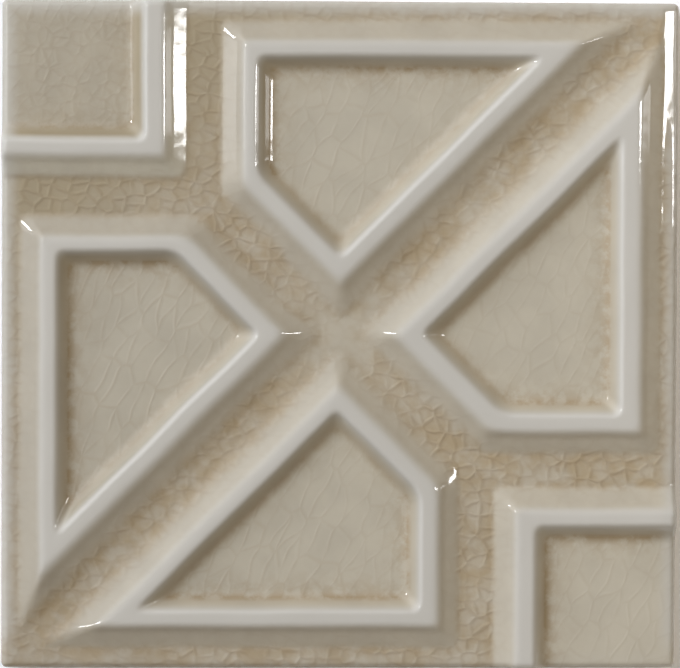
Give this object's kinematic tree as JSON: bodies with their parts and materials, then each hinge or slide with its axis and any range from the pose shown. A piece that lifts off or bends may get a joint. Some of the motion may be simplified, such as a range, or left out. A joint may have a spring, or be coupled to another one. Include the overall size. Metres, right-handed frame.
{
  "type": "crackle glaze wall tile",
  "caption": "Nearly square wall tile in a pale crackle glaze, with raised bands that frame panels around two crossing diagonal channels.",
  "frame": {"origin": "middle of the flat back, where the tile rests", "axes": "+Z out of the glazed face, +X to the right and +Y to the top of the face as the picture shows it"},
  "size_m": [0.152, 0.15, 0.01],
  "materials": {
    "glazed_tile": "glossy crackle glaze, pale on the raised bands and stained brown where it pools"
  },
  "bodies": {
    "root": {"glazed_tile": "glazed_tile"}
  },
  "joints": []
}
